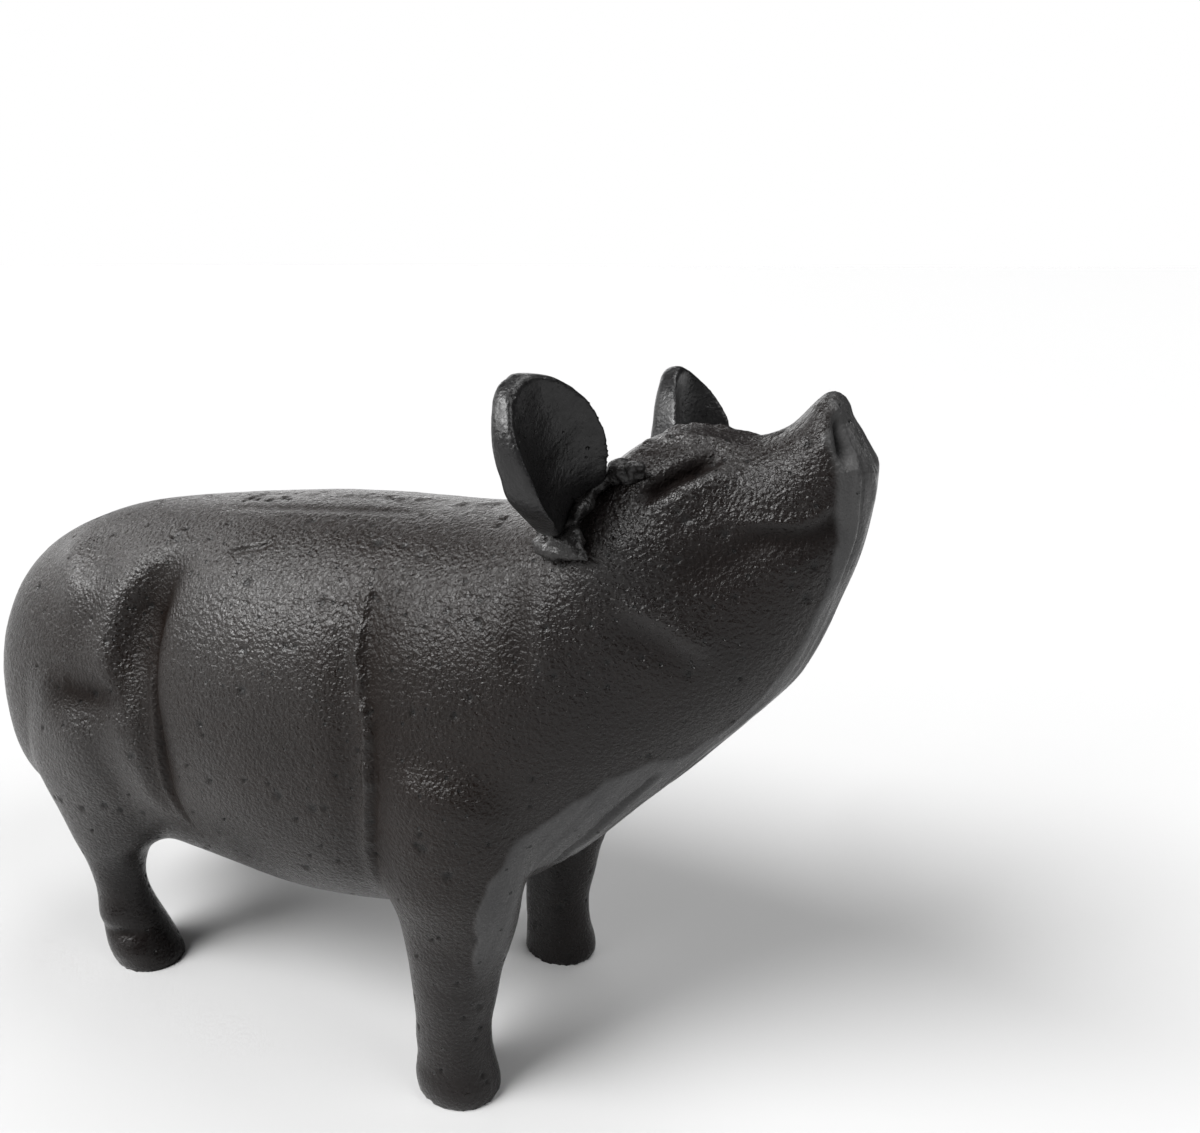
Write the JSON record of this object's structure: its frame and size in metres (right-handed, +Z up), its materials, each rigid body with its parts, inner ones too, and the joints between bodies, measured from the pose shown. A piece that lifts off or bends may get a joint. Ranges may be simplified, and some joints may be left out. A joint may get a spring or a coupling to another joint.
{
  "type": "pig figurine",
  "caption": "Standing pig figurine with a raised snout, a hollow cast body in two halves, separate ears and tail.",
  "frame": {"origin": "on the floor, under the middle of the figurine's length, in the plane of the joint between the halves", "axes": "+X towards the snout, +Y to the pig's left, +Z up"},
  "size_m": [0.301, 0.1145, 0.2205],
  "materials": {
    "painted_stone": "satin black paint over a pebbled cast surface",
    "painted_mortar": "satin black paint over scraped and dabbed mortar",
    "steel": "plain drawn bar"
  },
  "bodies": {
    "root": {"shell_right": "painted_stone", "shell_left": "painted_stone", "seam_mortar": "painted_mortar", "ear_right": "painted_stone", "ear_left": "painted_stone", "ear_paste_right": "painted_mortar", "ear_paste_left": "painted_mortar", "ear_pin_right": "steel", "ear_pin_left": "steel", "tail": "painted_stone", "tail_paste": "painted_mortar", "tail_pin": "steel", "leg_rod_front_right": "steel", "leg_rod_front_left": "steel", "leg_rod_hind_right": "steel", "leg_rod_hind_left": "steel"}
  },
  "joints": []
}
